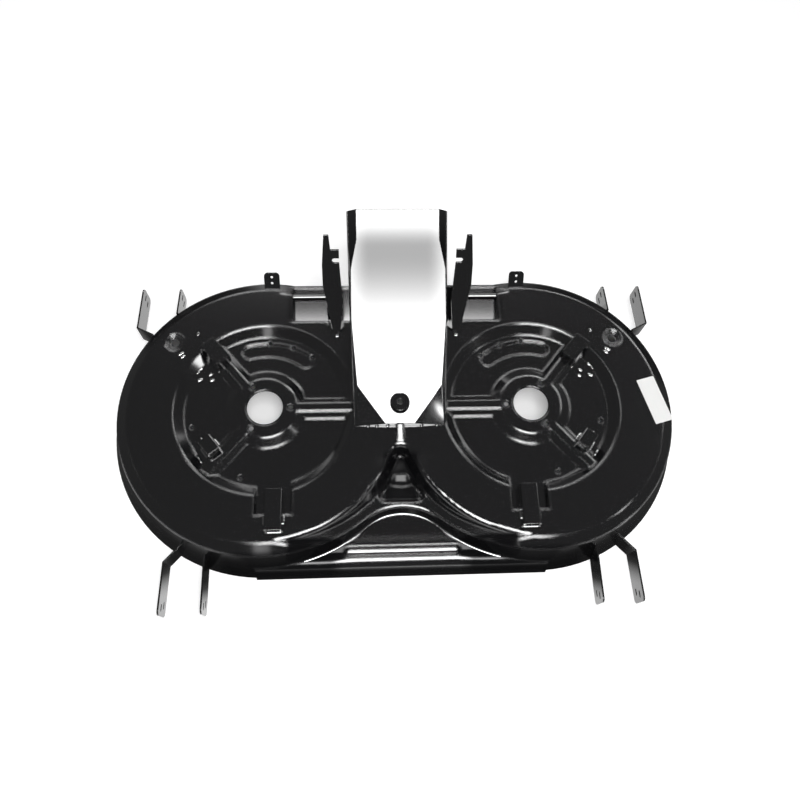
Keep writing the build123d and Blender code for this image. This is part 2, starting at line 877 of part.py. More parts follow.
def bridge(side, angle, r_in, r_out, width):
    """Bridge bracket standing across a disc, its legs along a radius of the spindle."""
    out = polar(side, angle, 1, 0) - polar(side, angle, 0, 0)
    height = top_z + bracket_rise
    with BuildPart() as result:
        origin = polar(side, angle, 0, 0)
        with BuildSketch(Plane(origin=origin, x_dir=out, z_dir=out.cross(Vector(0, 0, 1)))) as profile:
            with BuildLine():
                Polyline(
                    (r_in, sill_z),
                    (r_in, height),
                    (r_out, height),
                    (r_out, sill_z),
                    (r_out - bracket_sheet, sill_z),
                    (r_out - bracket_sheet, height - bracket_sheet),
                    (r_in + bracket_sheet, height - bracket_sheet),
                    (r_in + bracket_sheet, sill_z),
                    close=True,
                )
            make_face()
        extrude(profile.sketch, amount=width / 2, both=True)
        bends = [e for e in on_level(result.edges(), height) if abs(e.length - width) < 0.1]
        fillet(bends, bracket_sheet)
        add(pan_solid.part, mode=Mode.SUBTRACT)
    return result.part


def lift_channel(side):
    """Inverted channel at the front of a disc, its sides standing on the shell."""
    height = top_z + lift_rise
    half = lift_width / 2
    with BuildPart() as result:
        origin = (side * lift_x, spindle_y - lift_front_y, 0)
        with BuildSketch(Plane(origin=origin, x_dir=(1, 0, 0), z_dir=(0, -1, 0))) as profile:
            with BuildLine():
                Polyline(
                    (-half, sill_z),
                    (-half, height),
                    (half, height),
                    (half, sill_z),
                    (half - bracket_sheet, sill_z),
                    (half - bracket_sheet, height - bracket_sheet),
                    (bracket_sheet - half, height - bracket_sheet),
                    (bracket_sheet - half, sill_z),
                    close=True,
                )
            make_face()
        extrude(profile.sketch, amount=lift_rear_y - lift_front_y)
        bends = [e for e in on_level(result.edges(), height) if e.length > 2 * lift_width]
        fillet(bends, bracket_sheet)
        add(pan_solid.part, mode=Mode.SUBTRACT)
    return result.part


pieces = {
    "deck_shell": deck_shell.part,
    "chute_cover": chute_cover.part,
    "chute_floor": chute_floor.part,
    "paper_label": paper_label.part,
}
for side, name in ((-1, "left"), (1, "right")):
    pieces["chute_side_" + name] = chute_wall(side)
    pieces["hanger_" + name] = hanger(side)
    pieces["hanger_bar_" + name] = hanger_bar(side)
    pieces["rear_tab_" + name] = rear_tab(side)
    pieces["rear_bracket_" + name] = bridge(
        side, rear_bracket_angle, rear_bracket_in_r, rear_bracket_out_r, rear_bracket_width
    )
    pieces["front_bracket_" + name] = bridge(
        side, front_bracket_angle, front_bracket_in_r, front_bracket_out_r, front_bracket_width
    )
    pieces["lift_channel_" + name] = lift_channel(side)
    pieces["rear_strap_outer_" + name] = strap(
        [
            (side * rear_outer_x, rear_end_y),
            (side * rear_bend_x, rear_bend_y),
            (side * rear_weld_x, rear_weld_y),
        ],
        rear_strap_z,
    )
    pieces["rear_strap_inner_" + name] = strap(
        [(side * rear_inner_x, rear_end_y), (side * rear_inner_foot_x, rear_weld_y)], rear_strap_z
    )
    pieces["front_strap_outer_" + name] = strap(
        [
            (side * front_outer_x, -front_end_y),
            (side * front_bend_x, -front_bend_y),
            (side * front_weld_x, -front_weld_y),
        ],
        front_strap_z,
    )
    pieces["front_strap_inner_" + name] = strap(
        [(side * front_inner_x, -front_end_y), (side * front_inner_x, -front_weld_y)], front_strap_z
    )

os.makedirs("parts", exist_ok=True)
for name, piece in pieces.items():
    piece.label = name
    export_step(piece, "parts/" + name + ".step")
    print(name, piece.is_valid, round(piece.volume), len(piece.solids()))
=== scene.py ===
"""Looks of a twin-blade mower deck: gloss black paint, weld beads, a blank label and a white studio.

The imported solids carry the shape. This script dresses them, adds the weld beads and the cove of the front
fold as numpy surfaces, and sets up the floor, the light and the camera. Lengths are in metres in the frame
of the part: X across the deck, Y from front to rear, Z up from the plane that the skirt stands on.
"""

import json
import logging
import math
from dataclasses import dataclass, field, replace
from enum import Enum

import bpy
import numpy as np
from mathutils import Matrix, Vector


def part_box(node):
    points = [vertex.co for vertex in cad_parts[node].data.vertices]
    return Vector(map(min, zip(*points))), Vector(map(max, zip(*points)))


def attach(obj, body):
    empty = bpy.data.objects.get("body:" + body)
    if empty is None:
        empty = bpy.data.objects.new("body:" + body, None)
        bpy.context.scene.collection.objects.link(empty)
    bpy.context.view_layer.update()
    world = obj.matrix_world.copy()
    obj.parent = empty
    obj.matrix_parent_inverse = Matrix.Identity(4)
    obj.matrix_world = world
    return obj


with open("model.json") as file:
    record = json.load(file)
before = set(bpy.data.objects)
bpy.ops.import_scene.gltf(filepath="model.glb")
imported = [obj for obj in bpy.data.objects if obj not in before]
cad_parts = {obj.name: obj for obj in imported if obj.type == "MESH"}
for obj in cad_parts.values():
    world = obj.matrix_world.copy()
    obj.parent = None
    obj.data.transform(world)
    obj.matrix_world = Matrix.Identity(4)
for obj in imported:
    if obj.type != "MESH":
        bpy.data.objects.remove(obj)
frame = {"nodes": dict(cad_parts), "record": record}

LOG = logging.getLogger("mower_deck")
BODY = "root"
MM = 0.001
LOBE_LEAD = 3.5 * MM
UP = np.array([0.0, 0.0, 1.0])

Pair = tuple[float, float]
Triple = tuple[float, float, float]
Color = tuple[float, float, float, float]
Socket = bpy.types.NodeSocket


class Slot(Enum):
    """Name of the record's material slot for the black paint."""

    PAINT = "black_paint"


class Side(Enum):
    """Left and right half of the deck, with the sign of X there."""

    LEFT = -1
    RIGHT = 1


class Flat(Enum):
    """Flat of a lobe that beads lie on, with its height."""

    TOP = 90 * MM
    DISC = 76 * MM


def mount_place(name: str) -> np.ndarray:
    """Place of a mount of the record.

    Args:
        name: Name of the mount.

    Returns:
        Its position in metres.
    """
    return np.array(next(m["pos_m"] for m in frame["record"]["mounts"] if m["name"] == name))


def new_material(name: str) -> tuple[bpy.types.Material, "Levels"]:
    """Makes an empty node material.

    Args:
        name: Name of the material.

    Returns:
        The material and a helper for its node tree.
    """
    material = bpy.data.materials.new(name)
    material.use_nodes = True
    material.node_tree.nodes.clear()
    return material, Levels(material.node_tree)


class Levels:
    """Small helper that adds nodes to one node tree, most of them for levels of brightness or height."""

    def __init__(self, tree: bpy.types.NodeTree) -> None:
        """Keeps the tree that nodes go into."""
        self.tree = tree

    def node(self, kind: str, values: dict[str, float | Color] | None = None) -> bpy.types.Node:
        """Adds one node.

        Args:
            kind: Type of the node.
            values: Plain values for its sockets, by their names.

        Returns:
            The node.
        """
        node = self.tree.nodes.new(kind)
        for name, value in (values or {}).items():
            node.inputs[name].default_value = value
        return node

    def link(self, start: Socket, end: Socket) -> None:
        """Joins an output to an input."""
        self.tree.links.new(start, end)

    def math(self, operation: str, first: Socket, second: Socket | float = 0.0) -> Socket:
        """Adds one step of arithmetic.

        Args:
            operation: Name of the operation.
            first: Socket with the first value.
            second: Socket with the second value, or a plain number.

        Returns:
            Socket with the result.
        """
        node = self.node("ShaderNodeMath")
        node.operation = operation
        self.link(first, node.inputs[0])
        if isinstance(second, (int, float)):
            node.inputs[1].default_value = second
        else:
            self.link(second, node.inputs[1])
        return node.outputs[0]

    def ramp(self, value: Socket, spread: Pair, levels: Pair) -> Socket:
        """Adds a smooth step from one level to another.

        Args:
            value: Socket with the value that drives the step.
            spread: Where the step starts and ends.
            levels: Level before and after it.

        Returns:
            Socket with the level.
        """
        ends = dict(zip(("From Min", "From Max", "To Min", "To Max"), (*spread, *levels)))
        step = self.node("ShaderNodeMapRange", ends)
        step.interpolation_type = "SMOOTHSTEP"
        self.link(value, step.inputs["Value"])
        return step.outputs["Result"]

    def total(self, patches: tuple["SoftPatch", ...], x: Socket, y: Socket, start: float) -> Socket:
        """Adds up the levels of soft patches.

        Args:
            patches: The patches, at least one.
            x: Socket with the first coordinate.
            y: Socket with the second coordinate.
            start: Level where there is no patch.

        Returns:
            Socket with the sum.
        """
        value = start
        for patch in patches:
            value = self.math("ADD", patch.level(self, x, y), value)
        return value

    def away(self, value: Socket, middle: float) -> Socket:
        """Adds the distance of a value from a middle value and returns its socket."""
        return self.math("ABSOLUTE", self.math("SUBTRACT", value, middle))

    def from_point(self, place: bpy.types.NodeOutputs, point: Pair) -> Socket:
        """Adds the distance in plan from a point and from its mirror image on the other side.

        Args:
            place: X, Y and Z sockets of the place.
            point: X and Y of the point.

        Returns:
            Socket with the distance to the nearer of the two.
        """
        run = self.math("SUBTRACT", self.math("ABSOLUTE", place["X"]), point[0])
        ahead = self.math("SUBTRACT", place["Y"], point[1])
        square = self.math("ADD", self.math("MULTIPLY", run, run), self.math("MULTIPLY", ahead, ahead))
        return self.math("POWER", square, 0.5)

    def axes(self, output: str) -> bpy.types.NodeOutputs:
        """Adds a texture coordinate, split into its axes.

        Args:
            output: Name of the coordinate.

        Returns:
            Its X, Y and Z sockets.
        """
        split = self.node("ShaderNodeSeparateXYZ")
        self.link(self.node("ShaderNodeTexCoord").outputs[output], split.inputs[0])
        return split.outputs

    def noise(self, scale: float, detail: float) -> Socket:
        """Adds a noise over the place on the piece.

        Args:
            scale: Waves to the metre, roughly.
            detail: Finer layers on top of the first.

        Returns:
            Socket with the noise from 0 to 1.
        """
        node = self.node("ShaderNodeTexNoise", {"Scale": scale, "Detail": detail})
        self.link(self.node("ShaderNodeTexCoord").outputs["Object"], node.inputs["Vector"])
        return node.outputs["Fac"]

    def bump(self, height: Socket, depth: float, normal: Socket) -> Socket:
        """Adds a bump on top of a normal.

        Args:
            height: Socket with the height.
            depth: Metres that a height of one stands for.
            normal: Socket with the normal below it.

        Returns:
            Socket with the tilted normal.
        """
        node = self.node("ShaderNodeBump", {"Distance": depth})
        self.link(height, node.inputs["Height"])
        self.link(normal, node.inputs["Normal"])
        return node.outputs["Normal"]


@dataclass(frozen=True)
class SoftPatch:
    """Rectangle over two coordinates with soft edges: a bright panel, a shallow dent or a spot of painted
    shade.

    Attributes:
        middle: Its middle.
        half: Half its size along each coordinate, where it is at full height.
        soft: Width of the soft edge outside that.
        height: Level in the middle.
    """

    middle: Pair
    half: Pair
    soft: Pair
    height: float

    def pair(self) -> tuple["SoftPatch", "SoftPatch"]:
        """The patch and its mirror image on the other side of the deck."""
        return self, replace(self, middle=(-self.middle[0], self.middle[1]))

    def level(self, levels: Levels, x: Socket, y: Socket) -> Socket:
        """Adds the level of the patch.

        Args:
            levels: Helper for the node tree.
            x: Socket with the first coordinate.
            y: Socket with the second coordinate.

        Returns:
            Socket with the level, falling smoothly to zero round the patch.
        """
        parts = [
            levels.ramp(levels.away(value, middle), (half, half + soft), (1.0, 0.0))
            for value, middle, half, soft in zip((x, y), self.middle, self.half, self.soft)
        ]
        return levels.math("MULTIPLY", levels.math("MULTIPLY", parts[0], parts[1]), self.height)


@dataclass(frozen=True)
class GlossPaint:
    """Gloss black paint over sheet, with softly rounded edges and slightly wavy flats.

    Attributes:
        name: Name of the material.
        edge_radius: Radius that edges look rounded by.
        color: Colour under the gloss.
        roughness: Roughness of the paint.
        coat_roughness: Roughness of the lacquer on it.
        index: Refractive index of both.
        specular: Gloss of the paint below the lacquer.
        coat: Strength of the lacquer.
        wave_scale, wave_detail, wave_depth: Waviness of the flats.
        grain_scale, grain_detail, grain_depth: Fine unevenness of the paint.
        edge_samples: Directions tried to round an edge.
        least_shine: Share of gloss kept where the painted shade is deepest.
        dents: Shallow dents, heights in metres, over X and over Y from the spindle line.
        painted_shade: Spots of painted shade over the same, where gloss is taken away so that reflections
            come out darker; heights as shares of gloss.
    """

    name: str
    edge_radius: float
    color: Color = (0.005, 0.005, 0.0055, 1.0)
    roughness: float = 0.14
    coat_roughness: float = 0.06
    index: float = 1.5
    specular: float = 0.5
    coat: float = 1.0
    wave_scale: float = 7.0
    wave_detail: float = 1.0
    wave_depth: float = 0.00016
    grain_scale: float = 420.0
    grain_detail: float = 2.0
    grain_depth: float = 0.000012
    edge_samples: int = 6
    least_shine: float = 0.08
    dents: tuple[SoftPatch, ...] = ()
    painted_shade: tuple[SoftPatch, ...] = ()

    def material(self, spindle_y: float) -> bpy.types.Material:
        """Builds the paint.

        Args:
            spindle_y: Y of the line that dents and dull spots are placed from.

        Returns:
            Material with a lacquer coat, rounded edges, dents and two scales of unevenness.
        """
        material, levels = new_material(self.name)
        out = levels.node("ShaderNodeOutputMaterial")
        values = {
            "Base Color": self.color,
            "Roughness": self.roughness,
            "IOR": self.index,
            "Specular IOR Level": self.specular,
            "Coat Weight": self.coat,
            "Coat Roughness": self.coat_roughness,
            "Coat IOR": self.index,
        }
        paint = levels.node("ShaderNodeBsdfPrincipled", values)
        edge = levels.node("ShaderNodeBevel", {"Radius": self.edge_radius})
        edge.samples = self.edge_samples
        normal = edge.outputs["Normal"]
        at = levels.axes("Object")
        ahead = levels.math("SUBTRACT", at["Y"], spindle_y)
        if self.dents:
            normal = levels.bump(levels.total(self.dents, at["X"], ahead, 0.0), 1.0, normal)
        # Painted shade: the coat and the gloss under it are cut over these spots, which darkens what the
        # paint reflects there.
        if self.painted_shade:
            left = levels.total(self.painted_shade, at["X"], ahead, self.coat)
            shine = levels.math("MAXIMUM", left, self.least_shine)
            levels.link(shine, paint.inputs["Coat Weight"])
            levels.link(levels.math("MULTIPLY", shine, self.specular), paint.inputs["Specular IOR Level"])
        normal = levels.bump(levels.noise(self.wave_scale, self.wave_detail), self.wave_depth, normal)
        normal = levels.bump(levels.noise(self.grain_scale, self.grain_detail), self.grain_depth, normal)
        levels.link(normal, paint.inputs["Normal"])
        levels.link(normal, paint.inputs["Coat Normal"])
        levels.link(paint.outputs["BSDF"], out.inputs["Surface"])
        return material


@dataclass(frozen=True)
class PlainPaper:
    """Half matt white label paper."""

    name: str = "label_paper"
    color: Color = (0.86, 0.86, 0.85, 1.0)
    roughness: float = 0.55

    def material(self) -> bpy.types.Material:
        """Builds the paper.

        Returns:
            The material.
        """
        material, levels = new_material(self.name)
        out = levels.node("ShaderNodeOutputMaterial")
        values = {"Base Color": self.color, "Roughness": self.roughness}
        paper = levels.node("ShaderNodeBsdfPrincipled", values)
        levels.link(paper.outputs["BSDF"], out.inputs["Surface"])
        return material


@dataclass(frozen=True)
class StudioFloor:
    """White floor that takes the shadow; reflections find it dark close to the front of the deck.

    Pairs named for a distance or for Y give where a soft step starts and ends.

    Attributes:
        spindle_x, spindle_y: Place of the right spindle in plan.
        name: Name of the floor and of its material.
        half: Half the side of the floor.
        drop: Depth of the floor below the skirt.
        color: Colour of the floor.
        lift: Own brightness that the camera sees clear of the deck.
        under: Distance under the deck's edge over which that fades.
        lobe_lead, skirt_r: How far the lobes lie ahead of the spindles, and the radius of their skirt.
        apron_half, apron_y: Half width of the front apron, and its front ahead of the spindles.
        wall_y: Rear wall behind the spindles.
        hole_shift: From a spindle to the middle of what is seen through its hole.
        hole_spot, hole_level: Radius and brightness of that spot.
        shade, near_level: Distance from the deck at which its front mirrors brighter floor, and how bright.
        far, far_level: The same further out.
        shade_level: Least brightness in reflections.
        front_y: Y at which the brightness of the front ends.
        rear_y: Y at which the brightness of the rear starts.
        rear_half: Distance from the middle at which it ends, except close to the deck.
        rear_near: Distance from the deck that counts as close.
        rear_x, rear_levels: Distance from the middle at which it changes, and both levels.
        beside_straps, strap_gap: Bright patch that the front straps mirror, and its distance from the deck.
    """

    spindle_x: float
    spindle_y: float
    name: str = "studio_floor"
    half: float = 8.0
    drop: float = 0.4 * MM
    color: Color = (0.82, 0.82, 0.82, 1.0)
    lift: float = 0.45
    under: float = 0.02
    lobe_lead: float = LOBE_LEAD
    skirt_r: float = 0.2925
    apron_half: float = 0.262
    apron_y: float = 0.2995
    wall_y: float = 0.26
    hole_shift: Pair = (0.017, 0.034)
    hole_spot: Pair = (0.036, 0.043)
    hole_level: float = 0.32
    shade: Pair = (0.0, 0.09)
    near_level: float = 0.32
    far: Pair = (0.16, 0.4)
    far_level: float = 2.6
    shade_level: float = 0.03
    front_y: Pair = (-0.12, 0.05)
    rear_y: Pair = (0.15, 0.2)
    rear_half: Pair = (0.35, 0.55)
    rear_near: Pair = (0.08, 0.14)
    rear_x: Pair = (0.22, 0.34)
    rear_levels: Pair = (0.34, 0.9)
    beside_straps: SoftPatch = SoftPatch((0.41, -0.33), (0.09, 0.06), (0.03, 0.04), 1.05)
    strap_gap: Pair = (0.022, 0.07)

    def outside(self, levels: Levels) -> Socket:
        """Adds the distance outside the plan of the deck: two round lobes and the front apron.

        Args:
            levels: Helper for the floor's node tree.

        Returns:
            Socket with the distance, negative under the deck.
        """
        place = levels.axes("Object")
        side = levels.math("ABSOLUTE", place["X"])
        ahead = levels.math("SUBTRACT", place["Y"], self.spindle_y)
        reach = levels.from_point(place, (self.spindle_x, self.spindle_y - self.lobe_lead))
        lobe = levels.math("SUBTRACT", reach, self.skirt_r)
        front = levels.math("MULTIPLY", levels.math("ADD", ahead, self.apron_y), -1.0)
        apron = levels.math("MAXIMUM", front, levels.math("SUBTRACT", side, self.apron_half))
        middle = levels.math("MAXIMUM", apron, levels.math("SUBTRACT", ahead, self.wall_y))
        return levels.math("MINIMUM", lobe, middle)

    def mirrored(self, levels: Levels, gap: Socket) -> Socket:
        """Adds the brightness that reflections find.

        It is bright ahead of the spindles, clear of the deck, and behind them in the middle and close by.

        Args:
            levels: Helper for the floor's node tree.
            gap: Socket with the distance outside the deck.

        Returns:
            Socket with the brightness.
        """
        place = levels.axes("Object")
        side = levels.math("ABSOLUTE", place["X"])
        ahead = levels.math("SUBTRACT", place["Y"], self.spindle_y)
        near = levels.ramp(gap, self.shade, (0.0, self.near_level))
        clear = levels.math("ADD", near, levels.ramp(gap, self.far, (0.0, self.far_level)))
        front = levels.math("MULTIPLY", clear, levels.ramp(place["Y"], self.front_y, (1.0, 0.0)))
        middle = levels.ramp(side, self.rear_half, (1.0, 0.0))
        close = levels.ramp(gap, self.rear_near, (1.0, 0.0))
        behind = levels.math("MAXIMUM", middle, close)
        behind = levels.math("MULTIPLY", behind, levels.ramp(side, self.rear_x, self.rear_levels))
        rear = levels.math("MULTIPLY", behind, levels.ramp(place["Y"], self.rear_y, (0.0, 1.0)))
        beside = self.beside_straps.level(levels, side, ahead)
        beside = levels.math("MULTIPLY", beside, levels.ramp(gap, self.strap_gap, (0.0, 1.0)))
        front = levels.math("MAXIMUM", front, beside)
        return levels.math("MAXIMUM", levels.math("MAXIMUM", front, rear), self.shade_level)

    def below_holes(self, levels: Levels) -> Socket:
        """Adds the brightness of the spots seen through the spindle holes.

        Args:
            levels: Helper for the floor's node tree.

        Returns:
            Socket with the brightness.
        """
        spot = (self.spindle_x + self.hole_shift[0], self.spindle_y + self.hole_shift[1])
        reach = levels.from_point(levels.axes("Object"), spot)
        return levels.ramp(reach, self.hole_spot, (self.hole_level, 0.0))

    def material(self) -> bpy.types.Material:
        """Builds the floor's finish.

        Returns:
            Matt white with its own brightness for the camera, and a level of its own in reflections.
        """
        material, levels = new_material(self.name)
        out = levels.node("ShaderNodeOutputMaterial")
        path = levels.node("ShaderNodeLightPath").outputs
        gap = self.outside(levels)
        clear = levels.ramp(gap, (-self.under, 0.0), (0.0, self.lift))
        clear = levels.math("MAXIMUM", clear, self.below_holes(levels))
        seen = levels.math("MAXIMUM", path["Is Camera Ray"], path["Is Transmission Ray"])
        matt = levels.node("ShaderNodeBsdfDiffuse", {"Color": self.color})
        glow = levels.node("ShaderNodeEmission")
        levels.link(levels.math("MULTIPLY", seen, clear), glow.inputs["Strength"])
        lit = levels.node("ShaderNodeAddShader")
        levels.link(matt.outputs[0], lit.inputs[0])
        levels.link(glow.outputs[0], lit.inputs[1])
        mirror = levels.node("ShaderNodeEmission")
        levels.link(self.mirrored(levels, gap), mirror.inputs["Strength"])
        either = levels.node("ShaderNodeMixShader")
        levels.link(path["Is Glossy Ray"], either.inputs[0])
        levels.link(lit.outputs[0], either.inputs[1])
        levels.link(mirror.outputs[0], either.inputs[2])
        levels.link(either.outputs[0], out.inputs["Surface"])
        return material

    def build(self) -> bpy.types.Object:
        """Builds the floor, a flat square.

        Returns:
            The floor object.
        """
        corners = np.array([[-1, -1], [1, -1], [1, 1], [-1, 1]], float) * self.half
        places = np.column_stack([corners, np.full(4, -self.drop)])
        mesh = bpy.data.meshes.new(self.name)
        mesh.from_pydata(places.tolist(), [], [(0, 1, 2, 3)])
        mesh.materials.append(self.material())
        floor = bpy.data.objects.new(self.name, mesh)
        bpy.context.scene.collection.objects.link(floor)
        LOG.info("%s laid", self.name)
        return floor


@dataclass(frozen=True)
class SoftBox:
    """Rectangular soft light aimed at a point, its brightness given as radiance."""

    name: str
    place: Triple
    aim: Triple
    width: float
    depth: float
    radiance: float

    def build(self) -> bpy.types.Object:
        """Builds the lamp; its power is radiance times pi times its area.

        Returns:
            The lamp object.
        """
        lamp = bpy.data.lights.new(self.name, "AREA")
        lamp.shape = "RECTANGLE"
        lamp.size = self.width
        lamp.size_y = self.depth
        lamp.energy = self.radiance * math.pi * self.width * self.depth
        box = bpy.data.objects.new(self.name, lamp)
        bpy.context.scene.collection.objects.link(box)
        back = np.array(self.place) - np.array(self.aim)
        back /= np.linalg.norm(back)
        right = np.cross([0.0, 1.0, 0.0], back)
        right /= np.linalg.norm(right)
        turn = np.eye(4)
        turn[:3, :3] = np.column_stack([right, np.cross(back, right), back])
        turn[:3, 3] = self.place
        box.matrix_world = Matrix(turn.tolist())
        box.visible_camera = False
        box.visible_glossy = False
        return box


@dataclass(frozen=True)
class StudioRoom:
    """White background; the gloss mirrors a dark ceiling, soft panels and a pale horizon.

    Panels lie over X and Y of the direction that the gloss mirrors.

    Attributes:
        name: Name of the room.
        fill: Even light from all round.
        ceiling: Brightness between the panels.
        horizon: Height of the direction over which the horizon fades.
        horizon_y: Y of the direction over which it fades.
        over_chute: Brightest panel, in front and above, which whitens the chute.
        right_front: Panel to the right, in front.
        front_low: Small dim panel, low in front.
        rear_left, rear_middle, rear_right: Panels behind.
    """

    name: str = "studio_room"
    fill: float = 0.6
    ceiling: float = 0.16
    horizon: Pair = (0.0, 0.06)
    horizon_y: Pair = (-0.35, -0.05)
    over_chute: SoftPatch = SoftPatch((0.05, -0.33), (0.16, 0.145), (0.09, 0.06), 34.0)
    right_front: SoftPatch = SoftPatch((0.7, -0.32), (0.04, 0.04), (0.05, 0.06), 16.0)
    front_low: SoftPatch = SoftPatch((-0.12, -0.75), (0.03, 0.03), (0.06, 0.04), 3.0)
    rear_left: SoftPatch = SoftPatch((-0.12, 0.72), (0.1, 0.1), (0.15, 0.13), 5.5)
    rear_middle: SoftPatch = SoftPatch((0.25, 0.66), (0.1, 0.04), (0.1, 0.05), 14.0)
    rear_right: SoftPatch = SoftPatch((0.58, 0.45), (0.05, 0.14), (0.09, 0.12), 9.0)

    def panels(self) -> tuple[SoftPatch, ...]:
        """All panels, front ones first."""
        front = (self.over_chute, self.right_front, self.front_low)
        return front + (self.rear_left, self.rear_middle, self.rear_right)

    def build(self) -> None:
        """Sets the world: 1 for camera rays, the room for glossy rays and an even fill for the rest."""
        world = bpy.data.worlds.new(self.name)
        bpy.context.scene.world = world
        world.use_nodes = True
        world.node_tree.nodes.clear()
        levels = Levels(world.node_tree)
        out = levels.node("ShaderNodeOutputWorld")
        shade = levels.node("ShaderNodeBackground")
        path = levels.node("ShaderNodeLightPath").outputs
        toward = levels.axes("Generated")
        low = levels.ramp(toward["Z"], self.horizon, (1.0, 0.0))
        glow = levels.math("MULTIPLY", low, levels.ramp(toward["Y"], self.horizon_y, (1.0, 0.0)))
        lit = levels.total(self.panels(), toward["X"], toward["Y"], self.ceiling)
        room = levels.math("ADD", glow, lit)
        mirrored = levels.math("MULTIPLY", room, path["Is Glossy Ray"])
        seen = levels.math("MAXIMUM", path["Is Camera Ray"], path["Is Transmission Ray"])
        known = levels.math("MAXIMUM", seen, path["Is Glossy Ray"])
        rest = levels.ramp(known, (0.0, 1.0), (self.fill, 0.0))
        strength = levels.math("ADD", levels.math("ADD", seen, mirrored), rest)
        levels.link(strength, shade.inputs["Strength"])
        levels.link(shade.outputs[0], out.inputs["Surface"])
        LOG.info("%s lit", self.name)


@dataclass(frozen=True)
class PhotoCamera:
    """Camera at the photograph's viewing angle, placed from the spindle line of the deck.

    Attributes:
        name: Name of the camera.
        azimuth, elevation, roll: Its angles in degrees.
        distance: Distance from the target.
        target: Point that it looks at, with Y from the spindle line.
        focal_share: Focal length over the width of the picture.
        sensor: Width of the sensor in millimetres.
    """

    name: str = "photo_camera"
    azimuth: float = -8.037
    elevation: float = 68.149
    roll: float = 6.615
    distance: float = 1369.69 * MM
    target: Triple = (1.18 * MM, 5.163 * MM, 100.0 * MM)
    focal_share: float = 743.198 / 800
    sensor: float = 36.0

    def build(self, spindle_y: float) -> bpy.types.Object:
        """Builds the camera and makes it the scene's camera.

        Args:
            spindle_y: Y of the line through both spindles.

        Returns:
            The camera object.
        """
        turn, rise, tilt = (math.radians(v) for v in (self.azimuth, self.elevation, self.roll))
        ahead = np.array(
            [-math.sin(turn) * math.cos(rise), math.cos(turn) * math.cos(rise), -math.sin(rise)]
        )
        level = np.array([math.cos(turn), math.sin(turn), 0.0])
        upright = np.cross(level, ahead)
        right = math.cos(tilt) * level + math.sin(tilt) * upright
        up = math.cos(tilt) * upright - math.sin(tilt) * level
        place = np.eye(4)
        place[:3, :3] = np.column_stack([right, up, -ahead])
        place[:3, 3] = np.array(self.target) + np.array([0.0, spindle_y, 0.0]) - ahead * self.distance
        data = bpy.data.cameras.new(self.name)
        data.sensor_width = self.sensor
        data.lens = self.focal_share * self.sensor
        camera = bpy.data.objects.new(self.name, data)
        bpy.context.scene.collection.objects.link(camera)
        camera.matrix_world = Matrix(place.tolist())
        bpy.context.scene.camera = camera
        return camera


@dataclass(frozen=True)
class PressSpots:
    """Shallow dents of the pressing and spots of painted shade on it, over X and over Y from the spindle
    line.

    Attributes:
        dome_crown: Raised middle of the dome.
        near_fall: Fall of the apron close behind the slot.
        far_fall: Fall of the apron further behind the slot.
        fold_dip: Dip between the slot and the front fold.
        front_fall: Fall of the apron across the slot.
        dome_painted_shade: Painted shade on the dome, which dims its highlight.
        strip_painted_shade: Painted shade over the front strip of the apron beside the slot, on the right.
        corner_painted_shade: Painted shade over the apron behind the end of the slot, on the right.
        panel_painted_shade: Painted shade over the rear panel, on the right.
    """

    dome_crown: SoftPatch = SoftPatch((0.0, -0.134), (0.0005, 0.0005), (0.085, 0.0465), 0.005)
    near_fall: SoftPatch = SoftPatch((0.0, -0.5), (0.15, 0.236), (0.06, 0.018), -0.003)
    far_fall: SoftPatch = SoftPatch((0.0, -0.5), (0.15, 0.25), (0.06, 0.025), -0.0021)
    fold_dip: SoftPatch = SoftPatch((0.0, -0.2915), (0.085, 0.0085), (0.05, 0.02), -0.001)
    front_fall: SoftPatch = SoftPatch((0.0, -0.315), (0.09, 0.022), (0.06, 0.034), -0.002)
    # Painted shade: the spots below take gloss away so that the reflections there come out darker.
    dome_painted_shade: SoftPatch = SoftPatch((0.0, -0.134), (0.025, 0.035), (0.012, 0.014), -0.88)
    strip_painted_shade: SoftPatch = SoftPatch((0.22, -0.282), (0.09, 0.012), (0.03, 0.01), -0.8)
    corner_painted_shade: SoftPatch = SoftPatch((0.15, -0.258), (0.045, 0.012), (0.012, 0.008), -0.92)
    panel_painted_shade: SoftPatch = SoftPatch((0.165, 0.22), (0.04, 0.036), (0.01, 0.006), -0.42)

    def dents(self) -> tuple[SoftPatch, ...]:
        """All dents, the dome first."""
        return (self.dome_crown, self.near_fall, self.far_fall, self.fold_dip, self.front_fall)

    def painted_shade(self) -> tuple[SoftPatch, ...]:
        """All spots of painted shade, those at the sides with their mirror images."""
        sides = (self.strip_painted_shade, self.corner_painted_shade, self.panel_painted_shade)
        return (self.dome_painted_shade, *(spot for side in sides for spot in side.pair()))


@dataclass(frozen=True)
class ChuteSpots:
    """Shallow dent of the chute cover and painted shade on its top, over X and over Y from the spindle
    line.

    Attributes:
        hip_rise: Tilt of the right hip of the nose.
        top_painted_shade: Painted shade over the upper part of the chute's top, which greys its reflection.
        lip_shade_lifted: That painted shade taken off again towards the lip at its mouth.
    """

    hip_rise: SoftPatch = SoftPatch((0.2, -0.2), (0.1, 0.15), (0.07, 0.08), 0.0071)
    # Painted shade: gloss is taken away over the upper chute top and given back towards the lip, so its
    # reflection greys there.
    top_painted_shade: SoftPatch = SoftPatch((0.0, 0.5), (0.05, 0.26), (0.1, 0.213), -0.79)
    lip_shade_lifted: SoftPatch = SoftPatch((0.0, 0.5), (0.05, 0.17), (0.1, 0.08), 0.79)

    def dents(self) -> tuple[SoftPatch, ...]:
        """The one dent."""
        return (self.hip_rise,)

    def painted_shade(self) -> tuple[SoftPatch, ...]:
        """The painted shade over the top, and the lip that is lifted out of it."""
        return (self.top_painted_shade, self.lip_shade_lifted)


